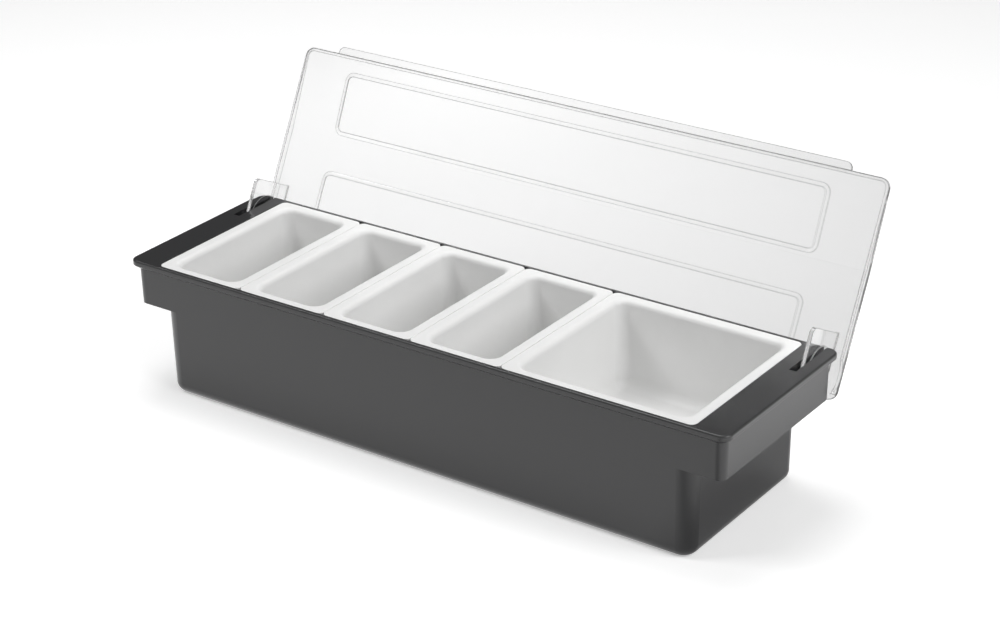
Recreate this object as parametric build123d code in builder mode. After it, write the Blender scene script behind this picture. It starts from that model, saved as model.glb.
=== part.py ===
from build123d import *
import os
from math import acos, atan2, cos, degrees, hypot, radians, sin, sqrt, tan

# Condiment caddy: a black tray, five white inserts that lift out, and one clear lid hinged at the back.
# Millimetres. X runs along the row of inserts, Y from front to back, Z up from the resting face.
# The lid is modelled in its open rest pose, leaning back against the tray.

# ---- tray: overall sizes
tray_length = 502.0
tray_depth = 150.0
tray_height = 101.6
rim_corner = 7.5  # plan radius of the rim
rim_face = 4.0  # height of the rim's outer edge
rim_round = 1.5  # along the top of the rim's outer edge
rim_foot_round = 0.5  # along the rim's lower edge
rim_support = 4.2  # how far the rim's sloping underside comes down, to the middle of the walls
end_flange = 26.0  # from the row of inserts to the tray's end
side_lip = 3.5  # from the inserts' rims to the tray's front and back edges

# ---- tray: walls
wall = 3.0
draft = 0.97  # degrees, each wall leans outwards by this much
tub_corner = 11.0
tub_bottom_round = 8.0
tub_inside_round = 5.0
side_ledge = 3.0  # what carries the inserts' rims, front and back
end_ledge = 3.6  # what carries them at the row's ends

# ---- tray: hollow shelves at the ends, open below, which are the hand-holds
shelf_drop = 34.6  # from the rim's top down to the shelf's lower edge
shelf_inset = 4.5  # from the tray's end in to the shelf's end wall, at its lower edge
shelf_corner = 6.0
shelf_inside_corner = 3.0
flange_plate = 3.5  # plate on top of a shelf, beyond the inserts' ledge

# ---- inserts
single_count = 4
insert_gap = 0.3  # between neighbours' rims
rim_clearance = 0.4  # between the inserts' rims and the tray's recess
insert_rim = 3.8  # thickness of an insert's rim
insert_corner = 4.5  # plan radius of an insert's rim
insert_wall = 2.2
insert_draft = 2.4  # degrees, the walls lean inwards going down
insert_inside = 66.0  # from the rim's top down to the floor inside
side_overhang = 7.6  # rim beyond the body, left and right
end_overhang = 6.0  # rim beyond the body, front and back
pocket_round = 8.0  # inside, up the corners and round the floor
mouth_round = 4.0  # the soft roll from the rim into the pocket
rim_edge_round = 0.4

# ---- hinge
pivot_inset = 11.5  # from the rim's back edge forward to the hinge axis
pivot_drop = 13.3  # from the rim's top down to the hinge axis
lid_lean = 27.5  # degrees behind upright at the open stop
pin_radius = 2.5
pin_clearance = 0.08
pin_length = 3.4
boss_radius = 5.8
boss_length = 2.2  # from the end wall to the slot
ear_thickness = 3.0
ear_side_gap = 1.4  # from the slot's inner side to the ear
pad_thickness = 0.7  # thicker round the pin, which keeps the ear off the boss
pad_clearance = 0.3  # between the pad and the boss
pad_radius = 17.0

# ---- lid
lid_side_inset = 1.0  # from the rim's end in to the lid's end
lid_wall = 2.3
lid_front_height = 2.9  # at the front edge
lid_corner = 7.0
lid_edge_round = 0.9
lid_overhang = 6.3  # from the rim's back edge out to the closed lid's rear edge
lid_front_inset = 2.7  # from the rim's front edge back to the lid's front edge
lid_flat_top = 72.2  # from the hinge axis forward to the line where its top begins to slope
seat_gap = 0.2  # between the closed lid and the rim
stop_gap = 0.3  # between the open lid's rear edge and the back wall
swing_gap = 0.4  # between the rim and what swings past it
grip_reach = 5.6
grip_inset = 30.0  # from the lid's side to the finger lip's end
grip_thickness = 2.0
grip_corner = 5.0

panel_inset = 41.7  # from the lid's side to a panel
panel_sink = 1.0
panel_slope = 3.0  # plan width of the sloping wall round a panel
panel_corner = 7.0
front_panel_inset = 11.9  # from the lid's front edge
front_panel_before_bend = 3.0  # from the line where the slope begins
rear_panel_behind_bend = 25.4
rear_panel_before_axis = 9.2

ear_reach = 35.7  # from the skirt's edge down to the ear's lower edge, closed
ear_front = 27.7  # in front of the hinge axis, closed
ear_back = 2.0  # behind the hinge axis at the lower edge, closed
ear_neck = 2.0  # in front of the axis, where the ear's back edge joins the lid
ear_corner = 4.5
ear_lobe = 8.0  # radius of the ear behind the pin

# ---- worked out from the sizes above
slope = tan(radians(draft))
rim_underside = tray_height - rim_face
ledge = tray_height - insert_rim
row_length = tray_length - 2 * end_flange
pitch = row_length / (single_count + 2)
insert_depth = tray_depth - 2 * side_lip
insert_underside = tray_height - insert_inside - insert_wall
shelf_bottom = tray_height - shelf_drop

# The tub's foot follows from the ledges that carry the row of inserts, its walls and their draft.
foot_growth = 2 * (wall - ledge * slope)
foot_length = row_length - 2 * end_ledge + foot_growth
foot_depth = insert_depth - 2 * side_ledge + foot_growth
shelf_length = tray_length - 2 * shelf_inset
shelf_depth = foot_depth + 2 * shelf_bottom * slope
shelf_rise = rim_underside - shelf_bottom
lid_length = tray_length - 2 * lid_side_inset

pivot_y = tray_depth / 2 - pivot_inset
pivot_z = tray_height - pivot_drop
skirt_tip = pivot_drop + seat_gap  # the closed skirt's edge above the hinge axis
lid_back = pivot_inset + lid_overhang
lid_front = lid_front_inset - tray_depth / 2 - pivot_y
bend = -lid_flat_top
lid_bend = bend - lid_front
front_panel_depth = lid_bend - front_panel_inset - front_panel_before_bend

# The rim's rounded back edge, seen from the hinge axis, sets what the lid must clear as it swings.
rim_swing = hypot(pivot_inset - rim_round, pivot_drop - rim_round) + rim_round
relief = rim_swing + swing_gap

slot_outer = shelf_length / 2 - wall - boss_length
ear_outer = slot_outer - pad_clearance - pad_thickness
ear_inner = ear_outer - ear_thickness
slot_inner = ear_inner - ear_side_gap
slot_width = slot_outer - slot_inner

# The lid has no rear skirt: the inner corner of its plain rear edge meets the back wall at the open stop,
# and this sets how high its top is above the hinge axis.
lean_sin = sin(radians(lid_lean))
lean_cos = cos(radians(lid_lean))
stop_height = pivot_z - lid_back * lean_cos - skirt_tip * lean_sin
back_wall = foot_depth / 2 + stop_height * slope
rear_tip = (back_wall + stop_gap - pivot_y + lid_back * lean_sin) / lean_cos
lid_top = rear_tip + lid_wall
lid_height = lid_top - skirt_tip
slope_rise = lid_height - lid_front_height
facet_tilt = degrees(atan2(slope_rise, lid_bend))

# A slot starts clear of the ear's lower front corner, which swings up through it.
ear_bottom = skirt_tip - ear_reach
ear_swing = hypot(ear_front - ear_corner, ear_bottom + ear_corner) + ear_corner
slot_front = pivot_y - sqrt(ear_swing**2 - (pivot_drop - flange_plate) ** 2) - swing_gap
slot_bottom = pivot_z - ear_lobe - 3 * swing_gap

# Directions that turn with the lid: up from its skirt, and towards its hinged side.
lid_up = (0, lean_cos, -lean_sin)
lid_rear = (0, -lean_sin, -lean_cos)
lid_plane = Plane(origin=(0, pivot_y, pivot_z), x_dir=(1, 0, 0), z_dir=lid_up)


def side_plane(x):
    """The lid's side view at x: its x runs towards the hinged side, its y up from the hinge axis."""
    return Plane(origin=(x, pivot_y, pivot_z), x_dir=lid_rear, z_dir=(1, 0, 0))


def lid_surface(y, height, tilt):
    """A plane on the lid, y behind and height above the hinge axis, facing forwards by tilt degrees."""
    facing = radians(lid_lean - tilt)
    origin = lid_plane.from_local_coords((0, y, height))
    return Plane(origin=origin, x_dir=(1, 0, 0), z_dir=(0, cos(facing), -sin(facing)))


os.makedirs("parts", exist_ok=True)

# ---- base tray
with BuildPart() as base_tray:
    # the shelves' block, and the tub through its middle
    with BuildSketch(Plane.XY.offset(shelf_bottom)):
        RectangleRounded(shelf_length, shelf_depth, shelf_corner)
    extrude(amount=shelf_rise, taper=-draft)
    with BuildSketch():
        RectangleRounded(foot_length, foot_depth, tub_corner)
    extrude(amount=rim_underside, taper=-draft)
    fillet(base_tray.edges().group_by(Axis.Z)[0], tub_bottom_round)

    # the rim, with an underside that slopes down to the walls
    with BuildSketch(Plane.XY.offset(rim_underside)):
        RectangleRounded(tray_length, tray_depth, rim_corner)
    extrude(amount=rim_face)
    with BuildSketch(Plane.XY.offset(rim_underside)):
        RectangleRounded(tray_length, tray_depth, rim_corner)
    with BuildSketch(Plane.XY.offset(rim_underside - rim_support)):
        RectangleRounded(
            shelf_length + 2 * shelf_rise * slope - wall,
            shelf_depth + 2 * shelf_rise * slope - wall,
            shelf_corner - wall / 2,
        )
    loft(ruled=True)
    fillet(base_tray.edges().group_by(Axis.Z)[-1], rim_round)
    lower_edge = base_tray.edges().filter_by_position(Axis.Z, rim_underside - 0.01, rim_underside + 0.01)
    fillet(lower_edge, rim_foot_round)

    # the hollow of the tub, with rounded corners
    with BuildSketch(Plane.XY.offset(wall)):
        RectangleRounded(
            foot_length + 2 * wall * slope - 2 * wall,
            foot_depth + 2 * wall * slope - 2 * wall,
            tub_corner - wall,
        )
    extrude(amount=tray_height - wall, taper=-draft, mode=Mode.SUBTRACT)
    fillet(base_tray.edges().filter_by_position(Axis.Z, wall - 0.01, wall + 0.01), tub_inside_round)

    # the recess that the inserts' rims lie in
    with BuildSketch(Plane.XY.offset(ledge)):
        RectangleRounded(
            row_length - insert_gap + 2 * rim_clearance,
            insert_depth + 2 * rim_clearance,
            insert_corner + rim_clearance,
        )
    extrude(amount=insert_rim, mode=Mode.SUBTRACT)

    for side in (-1, 1):
        # the hollow under the shelf, up to the ledge's support and then up to the flange plate
        tub_side = foot_length / 2 + rim_underside * slope
        plate_side = row_length / 2 + rim_clearance + wall
        shelf_end = shelf_length / 2 - wall
        hollow_depth = shelf_depth - 2 * wall
        with BuildSketch(Plane.XY.offset(shelf_bottom)):
            with Locations((side * (tub_side + shelf_end) / 2, 0)):
                RectangleRounded(shelf_end - tub_side, hollow_depth, shelf_inside_corner)
        extrude(amount=shelf_rise - rim_support, mode=Mode.SUBTRACT)
        with BuildSketch(Plane.XY.offset(shelf_bottom)):
            with Locations((side * (plate_side + shelf_end) / 2, 0)):
                RectangleRounded(shelf_end - plate_side, hollow_depth, shelf_inside_corner)
        extrude(amount=tray_height - flange_plate - shelf_bottom, mode=Mode.SUBTRACT)

        # the bearing boss on the end wall, bored for the lid's pin
        with BuildSketch(Plane.YZ.offset(side * slot_outer)):
            with Locations((pivot_y, pivot_z)):
                Circle(boss_radius)
        extrude(amount=side * (boss_length + wall / 2))
        with BuildSketch(Plane.YZ.offset(side * slot_outer)):
            with Locations((pivot_y, pivot_z)):
                Circle(pin_radius + pin_clearance)
        extrude(amount=side * (ear_outer + pin_length + swing_gap - slot_outer), mode=Mode.SUBTRACT)

        # the slot for the lid's ear, through the flange plate and out through the back wall
        slot_middle = side * (slot_inner + slot_outer) / 2
        with BuildSketch(Plane.XY.offset(tray_height)):
            with Locations((slot_middle, (slot_front + tray_depth / 2) / 2)):
                Rectangle(slot_width, tray_depth / 2 - slot_front)
        extrude(amount=-flange_plate - swing_gap, mode=Mode.SUBTRACT)
        notch_front = hollow_depth / 2 - shelf_inside_corner
        with BuildSketch(Plane.XY.offset(tray_height)):
            with Locations((slot_middle, (notch_front + tray_depth / 2) / 2)):
                Rectangle(slot_width, tray_depth / 2 - notch_front)
        extrude(amount=slot_bottom - tray_height, mode=Mode.SUBTRACT)

base_tray.part.label = "base_tray"
export_step(base_tray.part, "parts/base_tray.step")


# ---- inserts: a rim, a tapered body under it, and a pocket with a soft mouth
def make_insert(name, x, width):
    """One white insert whose rim is width long, with its middle at x."""
    body_length = width - 2 * side_overhang
    body_depth = insert_depth - 2 * end_overhang
    mouth_growth = 2 * insert_rim * tan(radians(insert_draft))
    with BuildPart() as pocket:
        with BuildSketch(Plane.XY.offset(tray_height)):
            with Locations((x, 0)):
                Rectangle(
                    body_length - 2 * insert_wall + mouth_growth,
                    body_depth - 2 * insert_wall + mouth_growth,
                )
        extrude(amount=-insert_inside, taper=insert_draft)
        mouth_edges = pocket.edges().group_by(Axis.Z)[-1]
        fillet(pocket.edges() - mouth_edges, pocket_round)
    with BuildPart() as insert:
        with BuildSketch(Plane.XY.offset(ledge)):
            with Locations((x, 0)):
                Rectangle(body_length, body_depth)
        extrude(amount=insert_underside - ledge, taper=insert_draft)
        top_edges = insert.edges().group_by(Axis.Z)[-1]
        fillet(insert.edges() - top_edges, pocket_round + insert_wall)
        with BuildSketch(Plane.XY.offset(ledge)):
            with Locations((x, 0)):
                RectangleRounded(width, insert_depth, insert_corner)
        extrude(amount=insert_rim)
        fillet(insert.edges().group_by(Axis.Z)[-1], rim_edge_round)
        add(pocket.part, mode=Mode.SUBTRACT)
        mouth = insert.faces().sort_by(Axis.Z)[-1].inner_wires()[0].edges()
        fillet(mouth, mouth_round)
    insert.part.label = name
    export_step(insert.part, f"parts/{name}.step")


for number in range(single_count):
    make_insert(
        f"single_insert_{number + 1}",
        (number + 0.5) * pitch - row_length / 2,
        pitch - insert_gap,
    )
make_insert("double_insert", row_length / 2 - pitch, 2 * pitch - insert_gap)


# ---- lid: one clear moulding, shown open
def lid_form(inset):
    """The lid's outside form, or with an inset, the hollow inside a wall of that thickness."""
    front = lid_front + inset
    back = lid_back - inset
    rise = slope_rise * (front - lid_front) / lid_bend
    with BuildPart() as form:
        with BuildSketch(side_plane(0)):
            with BuildLine():
                Polyline(
                    (back, skirt_tip - inset),
                    (back, lid_top - inset),
                    (bend, lid_top - inset),
                    (front, skirt_tip + lid_front_height + rise - inset),
                    (front, skirt_tip - inset),
                    close=True,
                )
            make_face()
        extrude(amount=lid_length / 2 - inset, both=True)
        fillet(form.edges().filter_by(Axis((0, 0, 0), lid_up)), lid_corner - inset)
    return form


lid_outside = lid_form(0)
lid_hollow = lid_form(lid_wall)

with BuildPart() as lid:
    add(lid_outside.part)
    top_faces = lid.faces().sort_by(Axis(lid_plane.origin, lid_up))[-2:]
    top_edges = top_faces[0].edges() + top_faces[1].edges()
    outline = [edge for edge in top_edges if sum(edge.is_same(other) for other in top_edges) == 1]
    fillet(outline, lid_edge_round)
    add(lid_hollow.part, mode=Mode.SUBTRACT)

    # the skirt is cut away where it swings past the rim, and all along the back
    with BuildSketch(side_plane(0)):
        Circle(relief)
        with Locations((lid_back, rear_tip - lid_height)):
            Rectangle(4 * lid_wall, 2 * lid_height)
    extrude(amount=lid_length / 2 + lid_wall, both=True, mode=Mode.SUBTRACT)

    # the finger lip along the front
    with BuildSketch(lid_plane.offset(skirt_tip)) as finger_lip:
        with Locations((0, lid_front + (lid_wall - grip_reach) / 2)):
            Rectangle(lid_length - 2 * grip_inset, grip_reach + lid_wall)
        fillet(finger_lip.vertices().group_by(Axis.Y)[0], grip_corner)
    extrude(amount=grip_thickness)

    # two panels sunk into the top, with the wall kept even below them
    front_panel_middle = lid_front + front_panel_inset + front_panel_depth / 2
    front_panel_top = lid_top - slope_rise * (bend - front_panel_middle) / lid_bend
    rear_panel_start = bend + rear_panel_behind_bend
    rear_panel_depth = -rear_panel_before_axis - rear_panel_start
    rear_panel_middle = rear_panel_start + rear_panel_depth / 2
    panel_angle = degrees(atan2(panel_slope, panel_sink))
    for middle, height, tilt, depth in (
        (front_panel_middle, front_panel_top, facet_tilt, front_panel_depth),
        (rear_panel_middle, lid_top, 0, rear_panel_depth),
    ):
        panel_surface = lid_surface(middle, height, tilt)
        with BuildSketch(panel_surface.offset(-lid_wall * cos(radians(tilt)))):
            RectangleRounded(lid_length - 2 * panel_inset, depth, panel_corner)
        extrude(amount=-panel_sink, taper=panel_angle)
        with BuildSketch(panel_surface):
            RectangleRounded(lid_length - 2 * panel_inset, depth, panel_corner)
        extrude(amount=-panel_sink, taper=panel_angle, mode=Mode.SUBTRACT)

    # an ear at each end, with a stub pin that turns in the tray's boss
    ear_top = lid_top - lid_wall / 2
    neck_angle = atan2(ear_top, -ear_neck) - acos(ear_lobe / hypot(ear_top, ear_neck))
    for side in (-1, 1):
        with BuildSketch(side_plane(side * ear_inner)) as ear:
            with BuildLine():
                Polyline(
                    (-ear_front, ear_top),
                    (-ear_front, ear_bottom),
                    (ear_back, ear_bottom),
                    (ear_back, 0),
                    (ear_lobe * cos(neck_angle), ear_lobe * sin(neck_angle)),
                    (-ear_neck, ear_top),
                    close=True,
                )
            make_face()
            fillet(ear.vertices().group_by(Axis.Y)[0], ear_corner)
            Circle(ear_lobe)
        extrude(amount=side * ear_thickness)
        with BuildSketch(side_plane(side * ear_outer)):
            add(ear.sketch_local)
            Circle(pad_radius, mode=Mode.INTERSECT)
        extrude(amount=side * pad_thickness)
        with BuildSketch(side_plane(side * ear_outer)):
            Circle(pin_radius)
        extrude(amount=side * pin_length)

lid.part.label = "lid"
export_step(lid.part, "parts/lid.step")
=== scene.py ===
from math import cos, radians, sin

import bpy
from mathutils import Matrix, Vector

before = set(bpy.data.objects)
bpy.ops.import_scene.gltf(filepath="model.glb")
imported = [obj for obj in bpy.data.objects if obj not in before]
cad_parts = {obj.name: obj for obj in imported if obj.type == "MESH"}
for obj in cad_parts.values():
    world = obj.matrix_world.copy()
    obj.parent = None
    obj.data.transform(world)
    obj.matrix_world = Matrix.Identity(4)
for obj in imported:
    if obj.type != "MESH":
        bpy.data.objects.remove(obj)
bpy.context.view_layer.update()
scene = bpy.context.scene


# ---- Camera
# The photograph's view of the caddy, from the front and to its right, a little above it. A long lens, so
# the tray's long edges run nearly parallel.
camera_azimuth = radians(35.34)
camera_elevation = radians(25.23)
camera_roll = radians(-0.84)
camera_place = Vector((0.9285, -1.2726, 0.8336))
camera_lens = 89.78
camera_sensor = 36.0

camera_back = Vector(
    (
        sin(camera_azimuth) * cos(camera_elevation),
        -cos(camera_azimuth) * cos(camera_elevation),
        sin(camera_elevation),
    )
)
camera_right = Vector((0, 0, 1)).cross(camera_back).normalized()
camera_up = camera_back.cross(camera_right)
level = Matrix((camera_right, camera_up, camera_back)).transposed().to_4x4()
camera_data = bpy.data.cameras.new("camera")
camera_data.lens = camera_lens
camera_data.sensor_width = camera_sensor
camera = bpy.data.objects.new("camera", camera_data)
scene.collection.objects.link(camera)
camera.matrix_world = Matrix.Translation(camera_place) @ level @ Matrix.Rotation(camera_roll, 4, "Z")
scene.camera = camera


# ---- Studio
# A white sweep under and behind the caddy. The strongest soft light hangs behind it to the left, one more
# at the front left and one on its right, and the room behind is dim, so the tray's top stays dark.
def light(name, place, target, size, power):
    """A soft light of that size and power, aimed at the target."""
    data = bpy.data.lights.new(name, "AREA")
    data.shape = "RECTANGLE"
    data.size, data.size_y = size
    data.energy = power
    lamp = bpy.data.objects.new(name, data)
    scene.collection.objects.link(lamp)
    lamp.location = place
    lamp.rotation_euler = (Vector(place) - Vector(target)).to_track_quat("Z", "Y").to_euler()
    return lamp


light("key_softbox", (-0.35, 0.35, 1.7), (0, 0, 0), (0.9, 0.9), 12)
front_softbox = light("front_softbox", (-0.85, -0.75, 1.3), (0, 0, 0.05), (0.6, 0.6), 9)
front_softbox.visible_glossy = False
front_softbox.visible_transmission = False
light("right_softbox", (1.6, -0.1, 1.2), (0.1, 0, 0.05), (1.2, 1.2), 21)
# a narrow strip to the left draws the bright line along the tray's rim
light("edge_strip", (-0.92, 0.0, 1.5), (0, 0, 0.1), (0.14, 0.75), 6).visible_diffuse = False

world = bpy.data.worlds.new("studio")
scene.world = world
world.use_nodes = True
sky = world.node_tree.nodes
sky_links = world.node_tree.links
sky.clear()
path = sky.new("ShaderNodeLightPath")
direction = sky.new("ShaderNodeTexCoord")


def room_level(source, low, high, dim, bright):
    """The room's level, from dim where the source reads low to bright where it reads high."""
    level = sky.new("ShaderNodeMapRange")
    level.inputs["From Min"].default_value = low
    level.inputs["From Max"].default_value = high
    level.inputs["To Min"].default_value = dim
    level.inputs["To Max"].default_value = bright
    sky_links.new(source, level.inputs["Value"])
    return level.outputs["Result"]


def seen_by(ray, level, below):
    """Shows that level to one kind of ray, over what the others see."""
    choice = sky.new("ShaderNodeMix")
    sky_links.new(path.outputs[ray], choice.inputs["Factor"])
    for socket, value in (("A", below), ("B", level)):
        if isinstance(value, (int, float)):
            choice.inputs[socket].default_value = value
        else:
            sky_links.new(value, choice.inputs[socket])
    return choice.outputs["Result"]


# what gloss mirrors of the room is dark only behind the caddy and to its left
towards_front = sky.new("ShaderNodeVectorMath")
towards_front.operation = "DOT_PRODUCT"
towards_front.inputs[1].default_value = (0.7, -0.5, 0)
sky_links.new(direction.outputs["Generated"], towards_front.inputs[0])
height = sky.new("ShaderNodeSeparateXYZ")
sky_links.new(direction.outputs["Generated"], height.inputs[0])
room = seen_by("Is Glossy Ray", room_level(towards_front.outputs["Value"], -0.6, -0.1, 0.15, 0.8), 0.15)
# the clear lid shows a white room round it and a grey one above, which draws its edges
room = seen_by("Is Transmission Ray", room_level(height.outputs["Z"], 0.2, 0.5, 1, 0.3), room)
room = seen_by("Is Camera Ray", 1, room)
sky_shader = sky.new("ShaderNodeBackground")
sky_shader.inputs["Color"].default_value = (1, 1, 1, 1)
sky_links.new(room, sky_shader.inputs["Strength"])
sky_out = sky.new("ShaderNodeOutputWorld")
sky_links.new(sky_shader.outputs[0], sky_out.inputs[0])

floor_mesh = bpy.data.meshes.new("floor")
reach = 6.0
floor_mesh.from_pydata(
    [(-reach, -reach, 0), (reach, -reach, 0), (reach, reach, 0), (-reach, reach, 0)], [], [(0, 1, 2, 3)]
)
floor = bpy.data.objects.new("floor", floor_mesh)
scene.collection.objects.link(floor)
sweep = bpy.data.materials.new("white_sweep")
sweep.use_nodes = True
sweep.cycles.emission_sampling = "NONE"
nodes = sweep.node_tree.nodes
links = sweep.node_tree.links
nodes.clear()
paper = nodes.new("ShaderNodeBsdfDiffuse")
paper.inputs["Color"].default_value = (0.82, 0.82, 0.82, 1)
floor_path = nodes.new("ShaderNodeLightPath")
ground = nodes.new("ShaderNodeTexCoord")
# painted light: seen through the clear lid, the sweep glows brightest behind the caddy to its left
far = nodes.new("ShaderNodeVectorMath")
far.operation = "DISTANCE"
far.inputs[1].default_value = (-0.45, 0.6, 0)
links.new(ground.outputs["Object"], far.inputs[0])
painted_glow_behind_lid = nodes.new("ShaderNodeMapRange")
painted_glow_behind_lid.inputs["From Min"].default_value = 0
painted_glow_behind_lid.inputs["From Max"].default_value = 0.65
painted_glow_behind_lid.inputs["To Min"].default_value = 0.42
painted_glow_behind_lid.inputs["To Max"].default_value = 0
links.new(far.outputs["Value"], painted_glow_behind_lid.inputs["Value"])
painted_glow_through_lid = nodes.new("ShaderNodeMath")
painted_glow_through_lid.operation = "MULTIPLY"
links.new(floor_path.outputs["Is Transmission Ray"], painted_glow_through_lid.inputs[0])
links.new(painted_glow_behind_lid.outputs["Result"], painted_glow_through_lid.inputs[1])
seen = nodes.new("ShaderNodeMath")
seen.operation = "MULTIPLY_ADD"
seen.inputs[1].default_value = 0.38
links.new(floor_path.outputs["Is Camera Ray"], seen.inputs[0])
links.new(painted_glow_through_lid.outputs[0], seen.inputs[2])
# painted reflection: seen in the black plastic's gloss, the sweep glows bright, with a painted shade beside
# the tray's right end
mirrored = nodes.new("ShaderNodeMath")
mirrored.operation = "SUBTRACT"
mirrored.use_clamp = True
links.new(floor_path.outputs["Is Glossy Ray"], mirrored.inputs[0])
links.new(floor_path.outputs["Is Transmission Ray"], mirrored.inputs[1])
ground_axes = nodes.new("ShaderNodeSeparateXYZ")
links.new(ground.outputs["Object"], ground_axes.inputs[0])
across = nodes.new("ShaderNodeMapRange")
across.inputs["From Min"].default_value = 0.18
across.inputs["From Max"].default_value = 0.38
links.new(ground_axes.outputs["X"], across.inputs["Value"])
# painted shade: the sweep's glow in gloss dips beside the tray's right end, under its shelf
painted_shade_right_end = nodes.new("ShaderNodeValToRGB")
painted_shade_right_end.color_ramp.elements[0].color = (0.75, 0.75, 0.75, 1)
painted_shade_right_end.color_ramp.elements[1].position = 0.75
for place, level in ((0.3, 0), (0.45, 0)):
    painted_shade_right_end.color_ramp.elements.new(place).color = (level, level, level, 1)
links.new(across.outputs["Result"], painted_shade_right_end.inputs["Fac"])
lift_and_painted_glow = nodes.new("ShaderNodeMath")
lift_and_painted_glow.operation = "MULTIPLY_ADD"
links.new(mirrored.outputs[0], lift_and_painted_glow.inputs[0])
links.new(painted_shade_right_end.outputs["Color"], lift_and_painted_glow.inputs[1])
links.new(seen.outputs[0], lift_and_painted_glow.inputs[2])
# the sweep glows: lifted to white for the camera, plus the painted light seen through the lid and in gloss
glow = nodes.new("ShaderNodeEmission")
glow.inputs["Color"].default_value = (1, 1, 1, 1)
links.new(lift_and_painted_glow.outputs[0], glow.inputs["Strength"])
both = nodes.new("ShaderNodeAddShader")
links.new(paper.outputs[0], both.inputs[0])
links.new(glow.outputs[0], both.inputs[1])
floor_out = nodes.new("ShaderNodeOutputMaterial")
links.new(both.outputs[0], floor_out.inputs[0])
floor_mesh.materials.append(sweep)


# ---- Base tray
# One injection moulding in black plastic with a fine matt grain, which carries everything else. Its rim,
# end shelves and hinge bosses are moulded on.
def hairlines(nodes, links, place, turn, amount):
    """Fine hairline scuffs in patches, as handling and wiping leave them: amount on a line, 0 elsewhere."""
    along = nodes.new("ShaderNodeMapping")
    along.inputs["Rotation"].default_value = (0.2, 0.3, turn)
    along.inputs["Scale"].default_value = (18, 900, 900)
    links.new(place.outputs["Object"], along.inputs["Vector"])
    lines = nodes.new("ShaderNodeTexNoise")
    lines.inputs["Scale"].default_value = 1
    lines.inputs["Detail"].default_value = 1
    links.new(along.outputs["Vector"], lines.inputs["Vector"])
    line = nodes.new("ShaderNodeMapRange")
    line.inputs["From Min"].default_value = 0.66
    line.inputs["From Max"].default_value = 0.74
    line.inputs["To Max"].default_value = amount
    links.new(lines.outputs["Fac"], line.inputs["Value"])
    patches = nodes.new("ShaderNodeTexNoise")
    patches.inputs["Scale"].default_value = 9
    links.new(place.outputs["Object"], patches.inputs["Vector"])
    patch = nodes.new("ShaderNodeMapRange")
    patch.inputs["From Min"].default_value = 0.45
    patch.inputs["From Max"].default_value = 0.65
    links.new(patches.outputs["Fac"], patch.inputs["Value"])
    both = nodes.new("ShaderNodeMath")
    both.operation = "MULTIPLY"
    links.new(line.outputs["Result"], both.inputs[0])
    links.new(patch.outputs["Result"], both.inputs[1])
    return both.outputs["Value"]


def grained_plastic(name, colour, roughness, specular, grain_size, grain_depth, scuff):
    """Moulded plastic with a fine even grain, whose colour and gloss vary very slightly over the piece."""
    material = bpy.data.materials.new(name)
    material.use_nodes = True
    nodes = material.node_tree.nodes
    links = material.node_tree.links
    shader = nodes["Principled BSDF"]
    shader.inputs["Specular IOR Level"].default_value = specular
    place = nodes.new("ShaderNodeTexCoord")
    grain = nodes.new("ShaderNodeTexNoise")
    grain.inputs["Scale"].default_value = 1 / grain_size
    grain.inputs["Detail"].default_value = 3
    links.new(place.outputs["Object"], grain.inputs["Vector"])
    bump = nodes.new("ShaderNodeBump")
    bump.inputs["Strength"].default_value = 1
    bump.inputs["Distance"].default_value = grain_depth
    links.new(grain.outputs["Fac"], bump.inputs["Height"])
    links.new(bump.outputs["Normal"], shader.inputs["Normal"])
    cloud = nodes.new("ShaderNodeTexNoise")
    cloud.inputs["Scale"].default_value = 14
    cloud.inputs["Detail"].default_value = 4
    links.new(place.outputs["Object"], cloud.inputs["Vector"])
    tone = nodes.new("ShaderNodeMapRange")
    tone.inputs["To Min"].default_value = 0.94
    tone.inputs["To Max"].default_value = 1.06
    links.new(cloud.outputs["Fac"], tone.inputs["Value"])
    tint = nodes.new("ShaderNodeVectorMath")
    tint.operation = "SCALE"
    tint.inputs[0].default_value = colour
    links.new(tone.outputs["Result"], tint.inputs["Scale"])
    links.new(tint.outputs["Vector"], shader.inputs["Base Color"])
    gloss = nodes.new("ShaderNodeMath")
    gloss.operation = "MULTIPLY_ADD"
    gloss.inputs[1].default_value = roughness
    links.new(tone.outputs["Result"], gloss.inputs[0])
    links.new(hairlines(nodes, links, place, 0.5, scuff), gloss.inputs[2])
    links.new(gloss.outputs["Value"], shader.inputs["Roughness"])
    return material


def finish(node, material):
    """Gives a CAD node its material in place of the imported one."""
    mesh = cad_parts[node].data
    mesh.materials.clear()
    mesh.materials.append(material)


finish("base_tray", grained_plastic("black_tray", (0.015, 0.015, 0.016), 0.3, 0.5, 0.0006, 0.00001, 0.1))


# ---- Inserts
# White injection mouldings with a smoother, slightly glossy finish. They hang by their rims on the tray's
# ledge and lift out for washing.
white_plastic = grained_plastic("white_insert", (0.79, 0.79, 0.785), 0.42, 0.5, 0.001, 0.00001, 0.12)
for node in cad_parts:
    if "insert" in node:
        finish(node, white_plastic)
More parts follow.
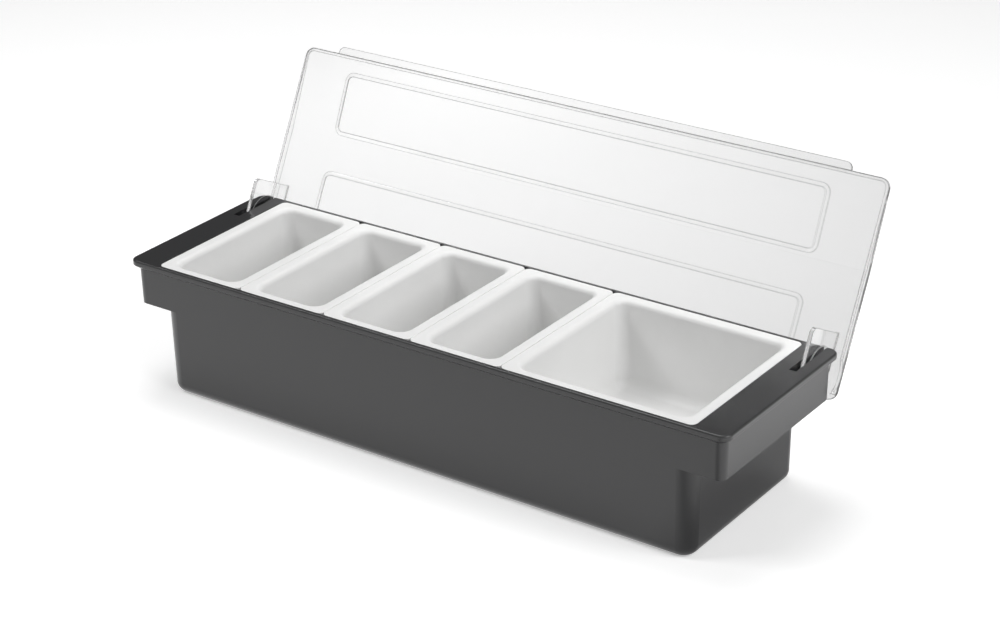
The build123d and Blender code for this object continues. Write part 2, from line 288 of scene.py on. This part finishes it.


# ---- Lid
# One clear acrylic moulding, polished on both faces, with its ears and stub pins moulded on. Its edges and
# creases are painted grey as shade and made rougher, and light that runs a long way inside it fades.
clear = bpy.data.materials.new("clear_lid")
clear.use_nodes = True
nodes = clear.node_tree.nodes
links = clear.node_tree.links
shader = nodes["Principled BSDF"]
shader.inputs["IOR"].default_value = 1.49
rounded = nodes.new("ShaderNodeBevel")
rounded.samples = 6
rounded.inputs["Radius"].default_value = 0.0007
flat = nodes.new("ShaderNodeNewGeometry")
turn = nodes.new("ShaderNodeVectorMath")
turn.operation = "DISTANCE"
links.new(rounded.outputs["Normal"], turn.inputs[0])
links.new(flat.outputs["Normal"], turn.inputs[1])
crease = nodes.new("ShaderNodeMapRange")
crease.inputs["From Min"].default_value = 0.02
crease.inputs["From Max"].default_value = 0.08
links.new(turn.outputs["Value"], crease.inputs["Value"])
# painted shade: the lid's creases and edges are tinted grey, standing in for the dark the clear plastic
# shows along them
painted_crease_grey = nodes.new("ShaderNodeMix")
painted_crease_grey.data_type = "RGBA"
painted_crease_grey.inputs["A"].default_value = (0.975, 0.975, 0.975, 1)
painted_crease_grey.inputs["B"].default_value = (0.38, 0.38, 0.38, 1)
links.new(crease.outputs["Result"], painted_crease_grey.inputs["Factor"])
links.new(painted_crease_grey.outputs["Result"], shader.inputs["Base Color"])
lid_gloss = nodes.new("ShaderNodeMapRange")
lid_gloss.inputs["To Min"].default_value = 0.03
lid_gloss.inputs["To Max"].default_value = 0.35
links.new(crease.outputs["Result"], lid_gloss.inputs["Value"])
lid_place = nodes.new("ShaderNodeTexCoord")
lid_scuffed = nodes.new("ShaderNodeMath")
lid_scuffed.operation = "ADD"
links.new(lid_gloss.outputs["Result"], lid_scuffed.inputs[0])
links.new(hairlines(nodes, links, lid_place, 0.1, 0.08), lid_scuffed.inputs[1])
links.new(lid_scuffed.outputs["Value"], shader.inputs["Roughness"])
shader.inputs["Transmission Weight"].default_value = 1
passing = nodes.new("ShaderNodeBsdfTransparent")
passing.inputs["Color"].default_value = (0.95, 0.95, 0.95, 1)
lid_path = nodes.new("ShaderNodeLightPath")
lid_mix = nodes.new("ShaderNodeMixShader")
links.new(lid_path.outputs["Is Shadow Ray"], lid_mix.inputs[0])
links.new(shader.outputs[0], lid_mix.inputs[1])
links.new(passing.outputs[0], lid_mix.inputs[2])
links.new(lid_mix.outputs[0], nodes["Material Output"].inputs["Surface"])
depth = nodes.new("ShaderNodeVolumeAbsorption")
depth.inputs["Color"].default_value = (0.1, 0.1, 0.1, 1)
depth.inputs["Density"].default_value = 9
links.new(depth.outputs[0], nodes["Material Output"].inputs["Volume"])
finish("lid", clear)

scene.view_settings.view_transform = "Standard"
scene.cycles.max_bounces = 24
scene.cycles.glossy_bounces = 16
scene.cycles.transmission_bounces = 24
